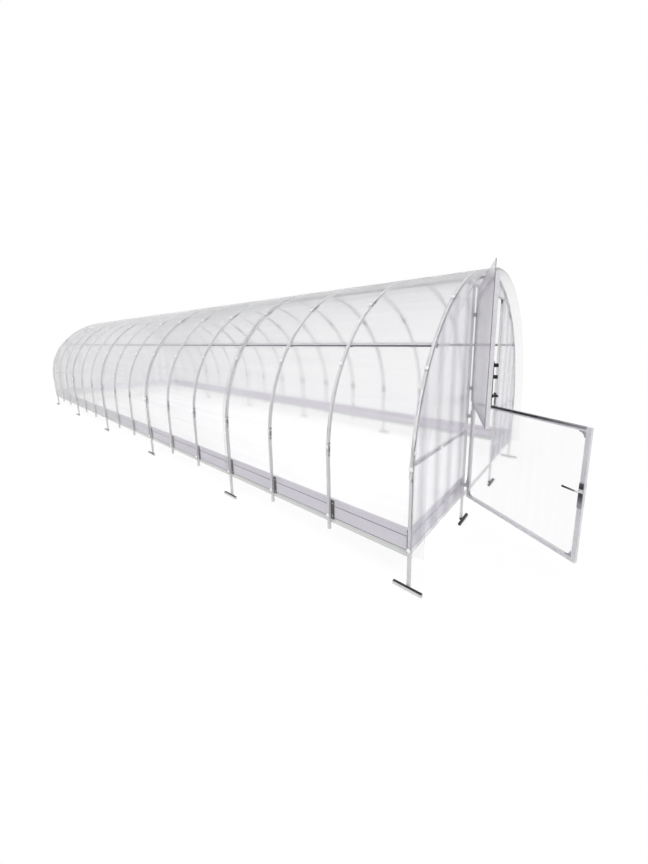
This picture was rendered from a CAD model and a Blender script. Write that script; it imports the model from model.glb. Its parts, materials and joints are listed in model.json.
import json
from math import cos, pi, radians, sin

import bmesh
import bpy
from mathutils import Matrix, Vector


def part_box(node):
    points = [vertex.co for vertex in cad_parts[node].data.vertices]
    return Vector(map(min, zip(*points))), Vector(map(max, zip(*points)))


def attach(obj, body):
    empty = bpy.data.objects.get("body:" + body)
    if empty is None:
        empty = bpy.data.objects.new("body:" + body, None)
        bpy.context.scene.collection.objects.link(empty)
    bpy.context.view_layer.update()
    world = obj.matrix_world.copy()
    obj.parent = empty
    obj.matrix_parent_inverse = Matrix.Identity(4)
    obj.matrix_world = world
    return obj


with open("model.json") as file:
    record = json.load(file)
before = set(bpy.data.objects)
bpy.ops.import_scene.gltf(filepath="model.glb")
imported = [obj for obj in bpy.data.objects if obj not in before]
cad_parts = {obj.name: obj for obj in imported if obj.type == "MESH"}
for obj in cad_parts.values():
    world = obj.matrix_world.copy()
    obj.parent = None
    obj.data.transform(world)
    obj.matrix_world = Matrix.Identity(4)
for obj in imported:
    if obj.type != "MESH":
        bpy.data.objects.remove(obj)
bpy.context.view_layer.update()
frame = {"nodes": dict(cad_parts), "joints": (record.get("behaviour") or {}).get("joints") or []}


# The studio: a pale floor that fades into a white room, two wide soft lamps and the light of the
# room itself. The camera stands outside the door end, to the left, and looks down the whole house.
def srgb(red, green, blue, alpha=1.0):
    def linear(value):
        value /= 255
        return value / 12.92 if value <= 0.04045 else ((value + 0.055) / 1.055) ** 2.4
    return (linear(red), linear(green), linear(blue), alpha)


class Flow:
    """A shader socket that works in sums, and the one way to add any other node to its tree."""

    def __init__(self, tree, socket=None):
        self.tree = tree
        self.socket = socket

    def node(self, kind, inputs=None, out=0, stops=None, **settings):
        made = self.tree.nodes.new("ShaderNode" + kind)
        for name, value in settings.items():
            setattr(made, name, value)
        if stops:
            ramp = made.color_ramp.elements
            while len(ramp) < len(stops):
                ramp.new(0.5)
            for element, (place, colour) in zip(ramp, stops):
                element.position = place
                element.color = colour
        for name, value in (inputs or {}).items():
            socket = made.inputs[name]
            if isinstance(value, Flow):
                self.tree.links.new(value.socket, socket)
            else:
                socket.default_value = value
        return Flow(self.tree, made.outputs[out] if made.outputs else None)

    def math(self, operation, first, second=0.0, clamp=False):
        return self.node("Math", {0: first, 1: second}, operation=operation, use_clamp=clamp)

    def __add__(self, other):
        return self.math("ADD", self, other)

    __radd__ = __add__

    def __mul__(self, other):
        return self.math("MULTIPLY", self, other)

    __rmul__ = __mul__

    def __sub__(self, other):
        return self.math("SUBTRACT", self, other)

    def __rsub__(self, other):
        return self.math("SUBTRACT", other, self)

    def __truediv__(self, other):
        return self.math("DIVIDE", self, other)

    def above(self, edge):
        return self.math("GREATER_THAN", self, edge)

    def clamped(self):
        return self.math("ADD", self, 0.0, clamp=True)

    def blend(self, first, second):
        """A colour from first to second as this value goes from 0 to 1."""
        made = self.tree.nodes.new("ShaderNodeMix")
        made.data_type = "RGBA"
        self.tree.links.new(self.socket, made.inputs[0])
        for socket, value in ((made.inputs[6], first), (made.inputs[7], second)):
            if isinstance(value, Flow):
                self.tree.links.new(value.socket, socket)
            else:
                socket.default_value = value
        return Flow(self.tree, made.outputs[2])


def seen_directly(flow):
    """1 on rays that look at the room, straight or by gloss or glass, and 0 on rays that only light."""
    path = {name: flow.node("LightPath", out=name) for name in
            ("Is Camera Ray", "Is Glossy Ray", "Is Transmission Ray")}
    return sum(path.values()).clamped()


ROOM_LIGHT = 0.6
world = bpy.data.worlds.new("studio_room")
world.use_nodes = True
bpy.context.scene.world = world
room = Flow(world.node_tree)
seen = seen_directly(room)
background = world.node_tree.nodes["Background"]
background.inputs["Color"].default_value = (1.0, 1.0, 1.0, 1.0)
world.node_tree.links.new((ROOM_LIGHT + seen * (1 - ROOM_LIGHT)).socket, background.inputs["Strength"])

LAMP_SPREAD = radians(50)
LAMPS = {"wide_key": (1.15, (0.55, 0.14, -0.82)), "wide_fill": (0.6, (0.08, 0.78, -0.62))}
for name, (energy, aim) in LAMPS.items():
    lamp = bpy.data.lights.new(name, "SUN")
    lamp.energy = energy
    lamp.angle = LAMP_SPREAD
    lamp_object = bpy.data.objects.new(name, lamp)
    lamp_object.rotation_mode = "QUATERNION"
    lamp_object.rotation_quaternion = Vector(aim).to_track_quat("-Z", "Y")
    bpy.context.scene.collection.objects.link(lamp_object)

FLOOR_SIZE = 120
FLOOR_SINK = 0.001
FLOOR_WHITE = (0.93, 0.93, 0.93, 1)
GLOW_STRENGTH, GLOW_SHARE = 1.03, 0.72
floor_mesh = bmesh.new()
bmesh.ops.create_grid(floor_mesh, x_segments=1, y_segments=1, size=FLOOR_SIZE)
floor_data = bpy.data.meshes.new("studio_floor")
floor_mesh.to_mesh(floor_data)
floor_mesh.free()
floor = bpy.data.objects.new("studio_floor", floor_data)
floor.location.z = -FLOOR_SINK
bpy.context.scene.collection.objects.link(floor)
floor_paint = bpy.data.materials.new("studio_floor")
floor_paint.use_nodes = True
floor_paint.node_tree.nodes.clear()
paint = Flow(floor_paint.node_tree)
matt = paint.node("BsdfDiffuse", {"Color": FLOOR_WHITE})
glow = paint.node("Emission", {"Color": (1, 1, 1, 1), "Strength": GLOW_STRENGTH})
floor_look = paint.node("MixShader", {0: GLOW_SHARE * seen_directly(paint), 1: matt, 2: glow})
paint.node("OutputMaterial", {"Surface": floor_look})
floor.data.materials.append(floor_paint)

SENSOR = 36.0
LENS = 12.8042
SHIFT = (-0.04248, -0.04155)
front_low, front_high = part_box("t_arch_1")
FRONT = (front_low.y + front_high.y) / 2
EYE = Vector((-2.951, FRONT - 0.782, 1.503))
YAW, PITCH = radians(53.11), radians(9.506)
ahead = Vector((sin(YAW) * cos(PITCH), cos(YAW) * cos(PITCH), -sin(PITCH)))
rightward = Vector((cos(YAW), -sin(YAW), 0))
upward = rightward.cross(ahead)
camera = bpy.data.cameras.new("camera")
camera.sensor_width = SENSOR
camera.lens = LENS
camera.shift_x, camera.shift_y = SHIFT
camera.clip_start, camera.clip_end = 0.05, 400
camera_object = bpy.data.objects.new("camera", camera)
turn = Matrix((rightward, upward, -ahead)).transposed()
camera_object.matrix_world = Matrix.Translation(EYE) @ turn.to_4x4()
bpy.context.scene.collection.objects.link(camera_object)
bpy.context.scene.camera = camera_object
bpy.context.scene.view_settings.view_transform = "Standard"


# The skeleton: sixteen arches of square steel tube, galvanised inside and out, with the posts and
# bars of both gables. The tube has rounded corners, and its zinc shows a faint spangle.
def material(name, **constants):
    """A new material and a flow in its tree. The constants go on the shader's own sockets."""
    made = bpy.data.materials.new(name)
    made.use_nodes = True
    shader = made.node_tree.nodes["Principled BSDF"]
    for socket, value in constants.items():
        shader.inputs[socket.replace("_", " ")].default_value = value
    return made, Flow(made.node_tree)


def feed(made, **links):
    """Joins what changes over the surface to the shader's sockets."""
    shader = made.node_tree.nodes["Principled BSDF"]
    for socket, flow in links.items():
        made.node_tree.links.new(flow.socket, shader.inputs[socket.replace("_", " ")])


def axes(flow, point):
    """The three parts of a point or a direction."""
    return [flow.node("SeparateXYZ", {0: point}, out=axis) for axis in "XYZ"]


def zinc(name, light, dark, metallic, rough, shadowed=None):
    """Zinc-coated steel: spangle crystals, long faint runs, and a fine grain in the coat."""
    made, flow = material(name, Metallic=metallic, IOR=1.5)
    point = flow.node("TexCoord", out="Object")
    spangle = flow.node("TexVoronoi", {"Vector": point, "Scale": 85}, out="Color")
    crystal = flow.node("SeparateColor", {0: spangle})
    stretched = flow.node("Mapping", {"Vector": point, "Scale": (30, 30, 2.5)})
    runs = flow.node("TexNoise", {"Vector": stretched, "Scale": 1, "Detail": 4, "Roughness": 0.6})
    cloud = flow.node("TexNoise", {"Vector": point, "Scale": 4, "Detail": 3})
    grain = flow.node("TexNoise", {"Vector": point, "Scale": 900, "Detail": 2})
    worn = (crystal * 0.28 + runs * 0.45 + cloud * 0.35).clamped()
    colour = worn.blend(light, dark)
    if shadowed:
        colour = shadowed(flow, point, colour)
    bump = flow.node("Bump", {"Strength": 0.12, "Distance": 0.0006, "Height": crystal * 0.4 + grain})
    feed(made, Base_Color=colour, Roughness=rough + worn * 0.16, Normal=bump)
    return made


MERGE = 1e-5
SHARP = radians(40)


def weld(piece):
    """Joins the loose triangles of a CAD node, so that the modifiers after this one see one skin."""
    piece.modifiers.new("joined_faces", "WELD").merge_threshold = MERGE


def dress(nodes, look, rounding=0.0):
    """Gives CAD nodes their finish, and rounds their edges where the real piece is rounded."""
    for name in nodes:
        piece = frame["nodes"][name]
        piece.data.materials.clear()
        piece.data.materials.append(look)
        if rounding:
            weld(piece)
            soft = piece.modifiers.new("rounded_edges", "BEVEL")
            soft.width = rounding
            soft.segments = 2
            soft.limit_method = "ANGLE"
            soft.angle_limit = SHARP


TUBE = 0.020
ZINC_DARK = srgb(44, 44, 46)
FOOT_TOP = TUBE * 1.1
POSTS_WITHIN = 0.7
UPWARD = 0.7
ribs_low, ribs_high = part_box("rib_pair_1")
R_OUT = ribs_high.x
R_IN = R_OUT - TUBE
SPRING = ribs_high.z - R_OUT
SLEEVE_T = 0.0025
SEAT_GAP = 0.0003


def dark_foot_tops(flow, point, colour):
    """The sleeves inside the arches' joints, the upper faces of the foot bars and all of the posts'
    bars keep the dark skin of rolled steel."""
    x, y, height = axes(flow, point)
    facing_up = axes(flow, flow.node("NewGeometry", out="True Normal"))[2]
    low = 1 - height.above(FOOT_TOP)
    under_posts = 1 - flow.math("ABSOLUTE", x).above(POSTS_WITHIN)
    rise = height - SPRING
    radius = flow.math("SQRT", x * x + rise * rise)
    inside = radius.above(R_IN - SLEEVE_T * 1.2) * (1 - radius.above(R_IN - SEAT_GAP))
    sleeve = inside * rise.above(TUBE / 2)
    dark = (low * (facing_up.above(UPWARD) + under_posts) + sleeve * 0.75).clamped()
    return dark.blend(colour, ZINC_DARK)


ALL_NODES = sorted(frame["nodes"])
galvanised = zinc("galvanised_tube", srgb(226, 226, 226), srgb(188, 188, 189), 0.2, 0.34,
                  dark_foot_tops)
frame_nodes = [n for n in ALL_NODES if n.startswith(("t_arch", "rib_pair", "door_post"))]
frame_nodes += ["lintel", "sill", "front_bars", "back_frame"]
dress(frame_nodes, galvanised, rounding=0.0022)


# The joints of the arches: a splice plate on each side of the tube over every sleeve, in darker
# zinc, held by two hexagon bolts that pass through the tube.
T_ARCHES, PLAIN_ARCHES = [], []
for name in ALL_NODES:
    low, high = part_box(name)
    if name.startswith("t_arch"):
        T_ARCHES.append((low.y + high.y) / 2)
    elif name.startswith("rib_pair"):
        PLAIN_ARCHES += [low.y + TUBE / 2, high.y - TUBE / 2]
T_ARCHES.sort()
PLAIN_ARCHES.sort()
ARCHES = sorted(T_ARCHES + PLAIN_ARCHES)
BACK = T_ARCHES[-1]
GABLES = ((FRONT, -1), (BACK, 1))
SIDES = (-1, 1)


def radial(angle, radius, y, side):
    """A place on the arch whose +Z points outwards and whose +Y points up along the arc."""
    out = Vector((side * cos(angle), 0, sin(angle)))
    along = Vector((-side * sin(angle), 0, cos(angle)))
    basis = Matrix((along.cross(out), along, out)).transposed().to_4x4()
    return Matrix.Translation(Vector((0, y, SPRING)) + out * radius) @ basis


def facing(face):
    """Turns a piece that stands up from z = 0 to stand out from a gable."""
    return Vector((0, face, 0)).to_track_quat("Z", "Y").to_matrix().to_4x4()


def finished(name, shape, look, body="house"):
    """Turns a bmesh into a piece of the object that rides on a body."""
    data = bpy.data.meshes.new(name)
    shape.to_mesh(data)
    shape.free()
    data.materials.append(look)
    piece = bpy.data.objects.new(name, data)
    bpy.context.scene.collection.objects.link(piece)
    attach(piece, body)
    return piece


def repeated(pattern, places):
    """One bmesh with a copy of a small shape at every place. The pattern is used up."""
    data = bpy.data.meshes.new("pattern")
    pattern.to_mesh(data)
    pattern.free()
    whole = bmesh.new()
    for place in places:
        first = len(whole.verts)
        whole.from_mesh(data)
        whole.verts.ensure_lookup_table()
        bmesh.ops.transform(whole, matrix=place, verts=whole.verts[first:])
    bpy.data.meshes.remove(data)
    return whole


def turned(outline, steps=20):
    """A round piece about Z, from the radius and height of each point of its outline."""
    shape = bmesh.new()
    points = [shape.verts.new((radius, 0, height)) for radius, height in outline]
    lines = [shape.edges.new(pair) for pair in zip(points, points[1:])]
    bmesh.ops.spin(shape, geom=points + lines, axis=(0, 0, 1), cent=(0, 0, 0),
                   dvec=(0, 0, 0), angle=2 * pi, steps=steps, use_merge=True)
    bmesh.ops.remove_doubles(shape, verts=shape.verts, dist=1e-6)
    bmesh.ops.recalc_face_normals(shape, faces=shape.faces)
    return shape


def added(shape, other, place=Matrix()):
    """Joins a second bmesh to the first, at a place."""
    data = bpy.data.meshes.new("other")
    other.to_mesh(data)
    other.free()
    first = len(shape.verts)
    shape.from_mesh(data)
    shape.verts.ensure_lookup_table()
    bmesh.ops.transform(shape, matrix=place, verts=shape.verts[first:])
    bpy.data.meshes.remove(data)
    return shape


def hexagon_bolt(across=0.010, tall=0.004):
    """A hexagon head on a washer, which stands up from z = 0."""
    washer = turned([(0, 0), (across * 0.78, 0), (across * 0.78, 0.0012), (0, 0.0012)], steps=16)
    head = bmesh.new()
    bmesh.ops.create_cone(head, cap_ends=True, segments=6, radius1=across * 0.58,
                          radius2=across * 0.58, depth=tall)
    rim = [e for e in head.edges if all(v.co.z > 0 for v in e.verts)]
    bmesh.ops.bevel(head, geom=rim, offset=0.0006, segments=1, profile=0.5, affect="EDGES", material=-1)
    return added(washer, head, Matrix.Translation((0, 0, tall / 2 + 0.001)))


def rounded_box(size, rounding):
    """A box about the origin with its edges taken off."""
    shape = bmesh.new()
    bmesh.ops.create_cube(shape, size=1, matrix=Matrix.Diagonal((*size, 1)))
    bmesh.ops.bevel(shape, geom=shape.edges[:], offset=rounding, segments=1, profile=0.5,
                    affect="EDGES", material=-1)
    return shape


SPLICE_L, SPLICE_W, SPLICE_T = 0.100, 0.016, 0.002
SLEEVE_ANGLES = (radians(0.5), radians(51.2))
SPLICE_SPAN = SPLICE_L / R_IN
BOLT_STEP = 0.030
R_MIDDLE = (R_OUT + R_IN) / 2


def splice_plate():
    """A plate bent like the arch, about the origin: +Z outwards, +Y up the arc, X its thickness."""
    shape = bmesh.new()
    bmesh.ops.create_grid(shape, x_segments=1, y_segments=1, size=0.5,
                          matrix=Matrix.Diagonal((SPLICE_T, SPLICE_W, 1, 1)))
    start = Matrix.Rotation(radians(90), 4, "X")
    bmesh.ops.transform(shape, matrix=start, verts=shape.verts)
    centre = Vector((0, 0, -R_MIDDLE))
    tipped = Matrix.Rotation(SPLICE_SPAN / 2, 3, "X")
    bmesh.ops.rotate(shape, cent=centre, matrix=tipped, verts=shape.verts)
    bmesh.ops.spin(shape, geom=shape.verts[:] + shape.edges[:] + shape.faces[:], axis=(1, 0, 0),
                   cent=centre, dvec=(0, 0, 0), angle=-SPLICE_SPAN, steps=5)
    bmesh.ops.recalc_face_normals(shape, faces=shape.faces)
    return shape


def open_faces(y):
    """The sides of an arch that no gable sheet covers: -1 faces the door end and +1 the back."""
    return [face for face in (-1, 1) if (y, face) not in GABLES]


splices, bolt_places = [], []
for y in ARCHES:
    for side in SIDES:
        for angle in SLEEVE_ANGLES:
            middle = angle + SPLICE_SPAN / 2
            for face in open_faces(y):
                plane = y + face * (TUBE / 2 + SPLICE_T / 2)
                outer = plane + face * SPLICE_T / 2
                splices.append(radial(middle, R_MIDDLE, plane, side))
                for step in (-1, 1):
                    spot = radial(middle + step * BOLT_STEP / R_MIDDLE, R_MIDDLE, outer, side)
                    bolt_places.append(Matrix.Translation(spot.translation) @ facing(face))
dark_zinc = zinc("dark_zinc", srgb(150, 150, 156), srgb(96, 96, 102), 0.4, 0.36)
bright_zinc = zinc("bright_zinc", srgb(226, 226, 230), srgb(180, 180, 184), 0.45, 0.26)
finished("splice_plates", repeated(splice_plate(), splices), dark_zinc)
finished("splice_bolts", repeated(hexagon_bolt(), bolt_places), bright_zinc)


# The feet: every third arch and each gable post is welded to a bar that lies on the ground. The
# ends of the tubes are open, and show dark inside the wall of the tube.
HOLE, MOUTH_T = 0.0164, 0.0012
mouth = rounded_box((HOLE, HOLE, MOUTH_T), 0.0004)
inset = [f for f in mouth.faces if f.normal.z > 0.9 and f.calc_area() > HOLE * HOLE * 0.8]
bmesh.ops.inset_region(mouth, faces=inset, thickness=0.0015, depth=-0.0005)
PROUD = SEAT_GAP - MOUTH_T / 2
FOOT_HALF = (front_high.y - front_low.y) / 2


def sideways(side):
    """Turns a piece that stands up from z = 0 to stand out to the left or the right."""
    return Matrix.Rotation(side * radians(90), 4, "Y")


mouth_places = []
for y in T_ARCHES:
    for side in SIDES:
        for end in (-1, 1):
            aim = Matrix.Rotation(-end * radians(90), 4, "X")
            at = Vector((side * (R_OUT + TUBE / 2), y + end * (FOOT_HALF + PROUD), TUBE / 2))
            mouth_places.append(Matrix.Translation(at) @ aim)
for y in PLAIN_ARCHES:
    for side in SIDES:
        at = Vector((side * (R_OUT - TUBE / 2), y, ribs_low.z - PROUD))
        mouth_places.append(Matrix.Translation(at) @ Matrix.Rotation(pi, 4, "X"))
post_low, post_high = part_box("door_post_left")
POST_X = -(post_low.x + post_high.x) / 2
POST_FOOT_HALF = (post_high.x - post_low.x) / 2
for gable, face in GABLES:
    for side in SIDES:
        for end in (-1, 1):
            at = Vector((side * POST_X + end * (POST_FOOT_HALF + PROUD), gable + face * TUBE, TUBE / 2))
            mouth_places.append(Matrix.Translation(at) @ sideways(end))


def hollow_dark():
    """The dark, dusty inside of a tube."""
    made, flow = material("tube_inside", Metallic=0.2)
    point = flow.node("TexCoord", out="Object")
    dust = flow.node("TexNoise", {"Vector": point, "Scale": 120, "Detail": 3})
    feed(made, Base_Color=dust.blend(srgb(16, 16, 17), srgb(44, 43, 44)), Roughness=0.7 + dust * 0.2)
    return made


finished("tube_mouths", repeated(mouth, mouth_places), hollow_dark())

BEAD_R, BEAD_HALF = 0.0028, 0.0105
RIPPLE, RIPPLE_TURN = 0.0004, 2600
BEAD_OFF = TUBE / 2 + 0.001
bead = bmesh.new()
bmesh.ops.create_icosphere(bead, subdivisions=2, radius=1,
                           matrix=Matrix.Diagonal((BEAD_R, BEAD_R, BEAD_HALF, 1)))
for vert in bead.verts:
    vert.co.x += RIPPLE * sin(vert.co.z * RIPPLE_TURN)
    vert.co.y += RIPPLE * cos(vert.co.z * RIPPLE_TURN)
beads = [Matrix.Translation((side * R_OUT, y + end * BEAD_OFF, TUBE / 2))
         for y in T_ARCHES for side in SIDES for end in (-1, 1)]
beads += [Matrix.Translation((side * POST_X + end * BEAD_OFF, gable + face * TUBE / 2, TUBE / 2))
          for gable, face in GABLES for side in SIDES for end in (-1, 1)]
weld_zinc = zinc("weld_bead", srgb(150, 149, 150), srgb(104, 102, 102), 0.3, 0.5)
finished("foot_welds", repeated(bead, beads), weld_zinc)


# The purlins: three tubes along the house that tie the arches together from inside. Their undersides
# are dark. Each is strapped to every arch with a bent clip and two screws.
def dark_underside(flow, point, colour):
    """The lower faces of a purlin, where the coat is the dark blue-grey of fresh zinc in shade."""
    height = axes(flow, flow.node("NewGeometry", out="True Normal"))[2]
    return (1 - height.above(0.0)).blend(colour, srgb(52, 52, 56))


purlin_zinc = zinc("purlin_tube", srgb(206, 206, 210), srgb(172, 172, 177), 0.3, 0.26, dark_underside)
dress([n for n in ALL_NODES if n.startswith("purlin")], purlin_zinc, rounding=0.0018)

PURLIN_ANGLES = ((radians(35), -1), (radians(35), 1), (radians(90), 1))
STRAP_T = 0.0015
CLEAR = 0.0006
HALF_IN = TUBE / 2 + CLEAR
FLANGE = 0.016


def bent_strip(path, across, thickness):
    """A strip of sheet metal bent along a path, as wide as across, with the sheet's thickness."""
    shape = bmesh.new()
    corners = [shape.verts.new(corner) for corner in path]
    folds = [shape.edges.new(pair) for pair in zip(corners, corners[1:])]
    swept = bmesh.ops.extrude_edge_only(shape, edges=folds)
    far_side = [v for v in swept["geom"] if isinstance(v, bmesh.types.BMVert)]
    bmesh.ops.translate(shape, vec=across, verts=far_side)
    bmesh.ops.recalc_face_normals(shape, faces=shape.faces)
    bmesh.ops.solidify(shape, geom=shape.faces[:], thickness=thickness)
    bmesh.ops.recalc_face_normals(shape, faces=shape.faces)
    return shape


strap_path = [(-HALF_IN - FLANGE, 0), (-HALF_IN, 0), (-HALF_IN, -TUBE - CLEAR),
              (HALF_IN, -TUBE - CLEAR), (HALF_IN, 0), (HALF_IN + FLANGE, 0)]
strap = bent_strip([(-TUBE / 2, t, z) for t, z in strap_path], (TUBE, 0, 0), STRAP_T)
clips = [radial(angle, R_IN - STRAP_T, y, side) for y in ARCHES for angle, side in PURLIN_ANGLES]
clip_zinc = zinc("clip_zinc", srgb(92, 92, 96), srgb(56, 56, 60), 0.5, 0.32)
finished("purlin_clips", repeated(strap, clips), clip_zinc)


def pan_screw(across=0.009, tall=0.0032):
    """A domed screw head on its flange, which stands up from z = 0."""
    radius = across / 2
    outline = [(0, 0), (radius * 1.25, 0), (radius * 1.25, 0.0008), (radius, 0.0010),
               (radius * 0.86, tall * 0.66), (radius * 0.5, tall * 0.95), (radius * 0.32, tall),
               (radius * 0.3, tall * 0.7), (0, tall * 0.62)]
    return turned(outline, steps=14)


screws = []
for place in clips:
    for end in (-1, 1):
        at = Matrix.Translation((0, end * (HALF_IN + FLANGE / 2), -STRAP_T))
        screws.append(place @ at @ Matrix.Rotation(pi, 4, "X"))
finished("clip_screws", repeated(pan_screw(), screws), bright_zinc)


# The skirt: boards of pressed steel, coated pale lilac-grey, with two grooves along each board.
# They close the foot of the walls behind the legs, and two screws hold them to every leg.
skirt_low, skirt_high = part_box("skirt_left")
SKIRT_LOW, SKIRT_HIGH = skirt_low.z, skirt_high.z
LOWER_GROOVE, UPPER_GROOVE = SKIRT_LOW + 0.043, SKIRT_HIGH - 0.053
GROOVE_HALF = 0.0032
SPLASH_H = 0.1


def skirt_coat(name, light, dark, lip):
    """Pale coat with vertical streaks, dark in the grooves, and its own tone on the lower lip."""
    made, flow = material(name, Metallic=0.1, IOR=1.46)
    point = flow.node("TexCoord", out="Object")
    height = axes(flow, point)[2]
    rain = flow.node("Mapping", {"Vector": point, "Rotation": (0.25, 0, 0), "Scale": (34, 34, 7)})
    streaks = flow.node("TexNoise", {"Vector": rain, "Scale": 3, "Detail": 5, "Roughness": 0.65})
    orange_peel = flow.node("TexNoise", {"Vector": point, "Scale": 420, "Detail": 2})
    splash = (1 - (height - SKIRT_LOW) / SPLASH_H).clamped()
    lower_lip = 1 - height.above(LOWER_GROOVE)
    lower_groove = 1 - flow.math("ABSOLUTE", height - LOWER_GROOVE).above(GROOVE_HALF)
    upper_groove = 1 - flow.math("ABSOLUTE", height - UPPER_GROOVE).above(GROOVE_HALF)
    shade = (streaks * 0.9 + splash * 0.2).clamped()
    coat = lower_lip.blend(shade.blend(light, dark), lip)
    groove = (lower_groove + upper_groove).clamped() * 0.85
    bump = flow.node("Bump", {"Strength": 0.1, "Distance": 0.0005, "Height": orange_peel})
    feed(made, Base_Color=groove.blend(coat, srgb(104, 102, 108)), Roughness=0.36 + streaks * 0.2,
         Normal=bump)
    return made


SIDE_BOARDS = ["skirt_left", "skirt_right"]
side_coat = skirt_coat("skirt_board", srgb(214, 210, 218), srgb(190, 186, 194), srgb(204, 206, 204))
gable_coat = skirt_coat("skirt_gable", srgb(234, 231, 237), srgb(214, 211, 218), srgb(238, 239, 238))
dress(SIDE_BOARDS, side_coat)
dress([n for n in ALL_NODES if n.startswith("skirt_") and n not in SIDE_BOARDS], gable_coat)

# A dark bracket stands beside each leg on the board's outer face, narrower at the end arches.
BRACKET_W, BRACKET_H, BRACKET_T = 0.036, 0.150, 0.0025
BRACKET_OFF = 0.0006
BRACKET_BELOW = 0.008
BRACKET_SCREWS = (-0.05, 0.05)
NARROW = 0.4
bracket = rounded_box((BRACKET_T, BRACKET_W, BRACKET_H), 0.0011)
brackets, leg_screws = [], []
for y in ARCHES:
    toward = 1 if y == FRONT else -1
    narrowed = NARROW if y in (FRONT, BACK) else 1
    for side in SIDES:
        at = Vector((side * (R_IN + BRACKET_T / 2 + BRACKET_OFF),
                     y + toward * (TUBE + BRACKET_W * narrowed + 0.001) / 2,
                     SKIRT_HIGH - BRACKET_H / 2 - BRACKET_BELOW))
        brackets.append(Matrix.Translation(at) @ Matrix.Diagonal((1, narrowed, 1, 1)))
        for step in BRACKET_SCREWS:
            spot = at + Vector((side * BRACKET_T / 2, 0, step))
            leg_screws.append(Matrix.Translation(spot) @ sideways(side))
finished("board_brackets", repeated(bracket, brackets), clip_zinc)
BOARD_SCREW_HEIGHTS = (SKIRT_LOW + 0.026, SKIRT_LOW + 0.100)
BOARD_SCREW_SUNK, BOARD_SCREW_BESIDE = 0.0022, 0.022
for y in ARCHES:
    for side in SIDES:
        for height in BOARD_SCREW_HEIGHTS:
            at = Matrix.Translation((side * (R_IN - BOARD_SCREW_SUNK), y + BOARD_SCREW_BESIDE, height))
            leg_screws.append(at @ sideways(side))
finished("skirt_screws", repeated(pan_screw(0.008, 0.002), leg_screws), bright_zinc)


# The roof and gable sheets: clear twin-wall polycarbonate, 4 mm thick, with fine webs between its
# two walls. It blurs what lies far behind it, is greyer seen along the sheet, and has faint runs.
WEB_PITCH = 0.0057
BAND_STEP = 0.225
LAMP_LIGHT_THROUGH = 0.85


def twin_wall(name, webs_along, tint, haze, edge_on, bands=0.0):
    """Twin-wall sheet, with more haze where it is seen edge on. webs_along names the webs' axis."""
    made, flow = material(name, IOR=1.1, Transmission_Weight=1.0)
    point = flow.node("TexCoord", out="Object")
    x, y, z = axes(flow, point)
    across, run = {"y": (y, (26, 0.5, 26)), "x": (x, (30, 30, 1.1))}[webs_along]
    web = flow.math("FRACT", across / WEB_PITCH).above(0.84)
    smear = flow.node("Mapping", {"Vector": point, "Scale": run})
    lines = flow.node("TexNoise", {"Vector": smear, "Scale": 1, "Detail": 5, "Roughness": 0.7})
    cloud = flow.node("TexNoise", {"Vector": point, "Scale": 0.9, "Detail": 2})
    facing = flow.node("LayerWeight", {"Blend": 0.5}, out="Facing")
    grazing = facing * facing * facing
    band = flow.math("SINE", across * (2 * pi / BAND_STEP)) * 0.5 + 0.5
    cover = haze + web * 0.02 + (lines - 0.5) * 0.3 * (0.1 + grazing) + grazing * edge_on
    cover = (cover + band * band * bands).clamped()
    bump = flow.node("Bump", {"Strength": 0.14, "Distance": 0.0012, "Height": lines + web * 0.3})
    colour = (lines * 0.7 + cloud * 0.5 - 0.1).clamped().blend(*tint)
    white = (cloud * 0.6).blend(srgb(254, 254, 254), srgb(247, 247, 249))
    feed(made, Base_Color=white, Normal=bump, Roughness=0.05 + cloud * 0.06)
    milk = flow.node("BsdfPrincipled", {"Base Color": colour, "Roughness": 0.3, "Normal": bump})
    clear = Flow(made.node_tree, made.node_tree.nodes["Principled BSDF"].outputs["BSDF"])
    sheet = flow.node("MixShader", {0: cover, 1: clear, 2: milk})
    lamp_light = flow.node("LightPath", out="Is Shadow Ray") * LAMP_LIGHT_THROUGH
    surface = flow.node("MixShader", {0: lamp_light, 1: sheet, 2: flow.node("BsdfTransparent")})
    made.node_tree.links.new(surface.socket, made.node_tree.nodes["Material Output"].inputs["Surface"])
    return made


SEAT_RELIEF = 0.0004


def off_its_seat(names):
    """Draws a sheet's faces back a hair from the frame it is screwed to, so that both show cleanly."""
    for name in names:
        sheet = frame["nodes"][name]
        weld(sheet)
        relief = sheet.modifiers.new("seat_relief", "DISPLACE")
        relief.mid_level = 0
        relief.strength = -SEAT_RELIEF


roof_clear = twin_wall("polycarbonate_roof", "y", (srgb(194, 194, 197), srgb(150, 149, 155)),
                       haze=0.03, edge_on=0.4)
gable_clear = twin_wall("polycarbonate_gable", "x", (srgb(200, 196, 208), srgb(146, 143, 155)),
                        haze=0.04, edge_on=0.25, bands=0.22)
dress([n for n in ALL_NODES if n.startswith("roof_sheet")], roof_clear)
GABLE_SHEETS = ["front_sheet_left", "front_sheet_right", "front_sheet_top", "back_sheet"]
dress(GABLE_SHEETS, gable_clear)
off_its_seat(GABLE_SHEETS)


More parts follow.
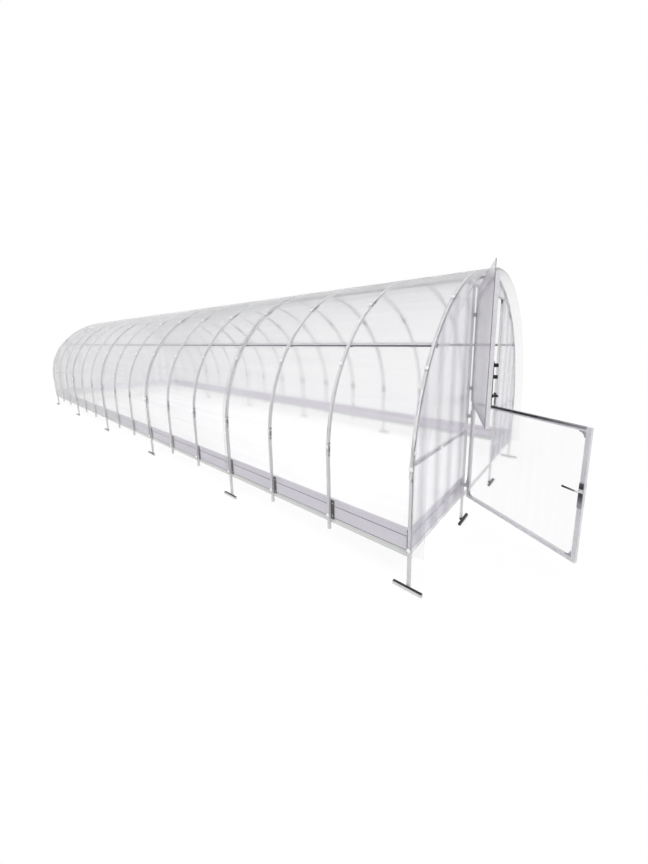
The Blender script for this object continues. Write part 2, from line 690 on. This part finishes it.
# The sheets are held by self-drilling screws with round white caps, at the same heights on every
# arch, and by a few on the bars of the gables.
CAP_OUTLINE = [(0, 0), (0.0150, 0), (0.0150, 0.0022), (0.0138, 0.0034), (0.0112, 0.0040),
               (0.0104, 0.0062), (0.0078, 0.0078), (0.0040, 0.0086), (0, 0.0088)]
SHEET_T = 0.004
SHEET_OUT = R_OUT + SEAT_GAP + SHEET_T
LAP_OUT = SHEET_OUT + SHEET_T + SEAT_GAP
LOW_CAP_Z = 0.263
CAP_ANGLES = (radians(3.2), radians(27.7), radians(51.2))
cap_places = []
for y in ARCHES:
    surface = LAP_OUT if y in T_ARCHES[1:-1] else SHEET_OUT
    for side in SIDES:
        at = Matrix.Translation((side * surface, y, LOW_CAP_Z))
        cap_places.append(at @ sideways(side))
        for angle in CAP_ANGLES:
            cap_places.append(radial(angle, surface, y, side))
GABLE_OUT = TUBE / 2 + SHEET_T
bar_low, bar_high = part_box("front_bars")
BAR_Z = (bar_low.z + bar_high.z) / 2
ARCH_CAP_ANGLE = radians(7.2)
BAR_CAP_X = 1.005
GABLE_CAPS = [(-BAR_CAP_X, BAR_Z),
              (-R_MIDDLE * cos(ARCH_CAP_ANGLE), SPRING + R_MIDDLE * sin(ARCH_CAP_ANGLE))]
for gable, face in GABLES:
    for side in SIDES:
        for x, z in GABLE_CAPS:
            at = Matrix.Translation((side * x, gable + face * GABLE_OUT, z))
            cap_places.append(at @ facing(face))


def cap_white():
    """White moulded plastic, a little dusty."""
    made, flow = material("cap_white", IOR=1.5)
    point = flow.node("TexCoord", out="Object")
    dust = flow.node("TexNoise", {"Vector": point, "Scale": 60, "Detail": 4})
    feed(made, Base_Color=dust.blend(srgb(250, 250, 250), srgb(222, 222, 224)),
         Roughness=0.3 + dust * 0.2)
    return made


caps = finished("sheet_caps", repeated(turned(CAP_OUTLINE), cap_places), cap_white())
for polygon in caps.data.polygons:
    polygon.use_smooth = True


# The doorway's fittings: an angle bracket in the corner of lintel and right post, and the strike
# plate that the levers close against. Both are dark zinc, and screwed to the tube.
LINTEL_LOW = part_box("lintel")[0].z
STRIKE_W, STRIKE_H, STRIKE_T, STRIKE_Z = 0.014, 0.150, 0.002, 0.925
STRIKE_SCREWS = (-0.045, 0.045)
strike = rounded_box((STRIKE_T, STRIKE_W, STRIKE_H), 0.0009)
post_face = POST_X - TUBE / 2
strike_at = Vector((post_face - STRIKE_T / 2 - SEAT_GAP, FRONT, STRIKE_Z))
finished("strike_plate", repeated(strike, [Matrix.Translation(strike_at)]), clip_zinc)

ARM, ARM_W, ARM_T = 0.034, 0.016, 0.0024
ARM_OFF = 0.0004
arms = [(-ARM, -ARM_W / 2, 0), (0, -ARM_W / 2, 0), (0, -ARM_W / 2, -ARM)]
angle_bracket = bent_strip(arms, (0, ARM_W, 0), ARM_T)
corner_at = Vector((post_face - ARM_T - ARM_OFF, FRONT, LINTEL_LOW - ARM_T - ARM_OFF))
finished("lintel_bracket", repeated(angle_bracket, [Matrix.Translation(corner_at)]), clip_zinc)
screws_at = [strike_at + Vector((-STRIKE_T / 2, 0, step)) for step in STRIKE_SCREWS]
screws_at.append(corner_at + Vector((-ARM_T, 0, -ARM * 0.6)))
door_screws = [Matrix.Translation(at) @ sideways(-1) for at in screws_at]
finished("doorway_screws", repeated(pan_screw(0.007, 0.002), door_screws), bright_zinc)


# The door leaves: square frames with corner plates and their own sheets, hung one above the other
# on the left post, and both standing open.
JOINTS = {joint["child"]: Vector(joint["pos_m"]) for joint in frame["joints"]}
OPEN = {"lower_leaf": radians(119.2), "upper_leaf": radians(158.1)}


def along_leaf(flow, point, leaf):
    """How far a point of an open leaf lies from its hinge."""
    x, y, z = axes(flow, point)
    axis, turn = JOINTS[leaf], OPEN[leaf]
    return (x - axis.x) * cos(turn) - (y - axis.y) * sin(turn)


RAIL_W = 0.0255
DARK_BAND = 0.015
LEAF_FREE = 0.898
HINGE_GAP = 0.009
LOWER_LOW, LOWER_TOP = (corner.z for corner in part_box("lower_leaf_frame"))
UPPER_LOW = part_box("upper_leaf_frame")[0].z


def dark_top_rail(flow, point, colour):
    """The top rail of the lower leaf, dark on its upper half and paler towards its free end."""
    height = axes(flow, point)[2]
    reach = along_leaf(flow, point, "lower_leaf")
    rail = height.above(LOWER_TOP - DARK_BAND) * (1 - reach.above(LEAF_FREE - RAIL_W))
    worn = ((reach - LEAF_FREE * 0.6) / (LEAF_FREE * 0.4)).clamped()
    return rail.blend(colour, worn.blend(srgb(16, 16, 17), srgb(150, 148, 154)))


def dark_inner_sides(flow, point, colour):
    """The hinge stile and the lower rail of the upper leaf, in tube of a darker batch."""
    height = axes(flow, point)[2]
    reach = along_leaf(flow, point, "upper_leaf")
    low = 1 - height.above(UPPER_LOW + RAIL_W)
    stile = 1 - reach.above(RAIL_W + HINGE_GAP)
    dark = (low * (1 - reach.above(LEAF_FREE - RAIL_W)) * 0.5 + stile).clamped()
    return dark.blend(colour, srgb(72, 70, 76))


lower_zinc = zinc("lower_leaf_tube", srgb(230, 229, 232), srgb(192, 191, 194), 0.25, 0.3,
                  dark_top_rail)
upper_zinc = zinc("upper_leaf_tube", srgb(228, 227, 231), srgb(192, 190, 195), 0.25, 0.3,
                  dark_inner_sides)
dress(["lower_leaf_frame"], lower_zinc, rounding=0.002)
dress(["upper_leaf_frame"], upper_zinc, rounding=0.002)
leaf_clear = twin_wall("leaf_sheet", "x", (srgb(218, 212, 226), srgb(172, 166, 181)),
                       haze=0.008, edge_on=0.34)
LEAF_SHEETS = ["lower_leaf_sheet", "upper_leaf_sheet"]
dress(LEAF_SHEETS, leaf_clear)
off_its_seat(LEAF_SHEETS)
corner_zinc = zinc("corner_plate", srgb(184, 179, 190), srgb(150, 146, 156), 0.3, 0.4)
dress(["lower_leaf_corners", "upper_leaf_corners"], corner_zinc)


# The handles and hinges: moulded black levers on long back plates, of which the lower leaf's has
# worn to the steel, and pin hinges in bright zinc.
def moulded_black():
    """Black plastic with fine pores, rubbed a little paler in patches."""
    made, flow = material("handle_black", IOR=1.3)
    point = flow.node("TexCoord", out="Object")
    pores = flow.node("TexNoise", {"Vector": point, "Scale": 700, "Detail": 3})
    rub = flow.node("TexNoise", {"Vector": point, "Scale": 22, "Detail": 4})
    bump = flow.node("Bump", {"Strength": 0.2, "Distance": 0.0004, "Height": pores})
    feed(made, Base_Color=rub.blend(srgb(6, 6, 7), srgb(18, 18, 19)), Roughness=0.3 + rub * 0.3,
         Normal=bump)
    return made


LEVER_Z = LOWER_LOW + 0.450
PLATE_HALF = 0.075
PLATE_FROM = LEAF_FREE - 0.026
LEVER_ROOT = 0.07
HUB = 0.16


def worn_plate(flow, point, colour):
    """The lower leaf's handle: bright at the lever's root, black at its tip, and dark on the plate."""
    height = axes(flow, point)[2]
    reach = along_leaf(flow, point, "lower_leaf")
    plate = reach.above(PLATE_FROM)
    off = flow.math("ABSOLUTE", height - LEVER_Z) / PLATE_HALF
    hub = 1 - off.above(HUB)
    graded = (off * off * 0.8).clamped().blend(srgb(46, 45, 49), srgb(150, 148, 153))
    on_plate = hub.blend(graded, srgb(205, 205, 207))
    root = ((reach - PLATE_FROM + LEVER_ROOT) / LEVER_ROOT).clamped()
    on_lever = (root * root).blend(srgb(16, 16, 17), srgb(150, 149, 152))
    return plate.blend(on_lever, on_plate)


HANDLE_ROUNDING = 0.0012
dress(["upper_leaf_handle"], moulded_black(), rounding=HANDLE_ROUNDING)
plate_steel = zinc("handle_steel", srgb(60, 60, 62), srgb(40, 40, 42), 0.4, 0.3, worn_plate)
dress(["lower_leaf_handle"], plate_steel, rounding=HANDLE_ROUNDING)
hinge_zinc = zinc("hinge_steel", srgb(206, 206, 209), srgb(172, 172, 176), 0.2, 0.35)
dress(["hinge_brackets"], hinge_zinc, rounding=0.0008)
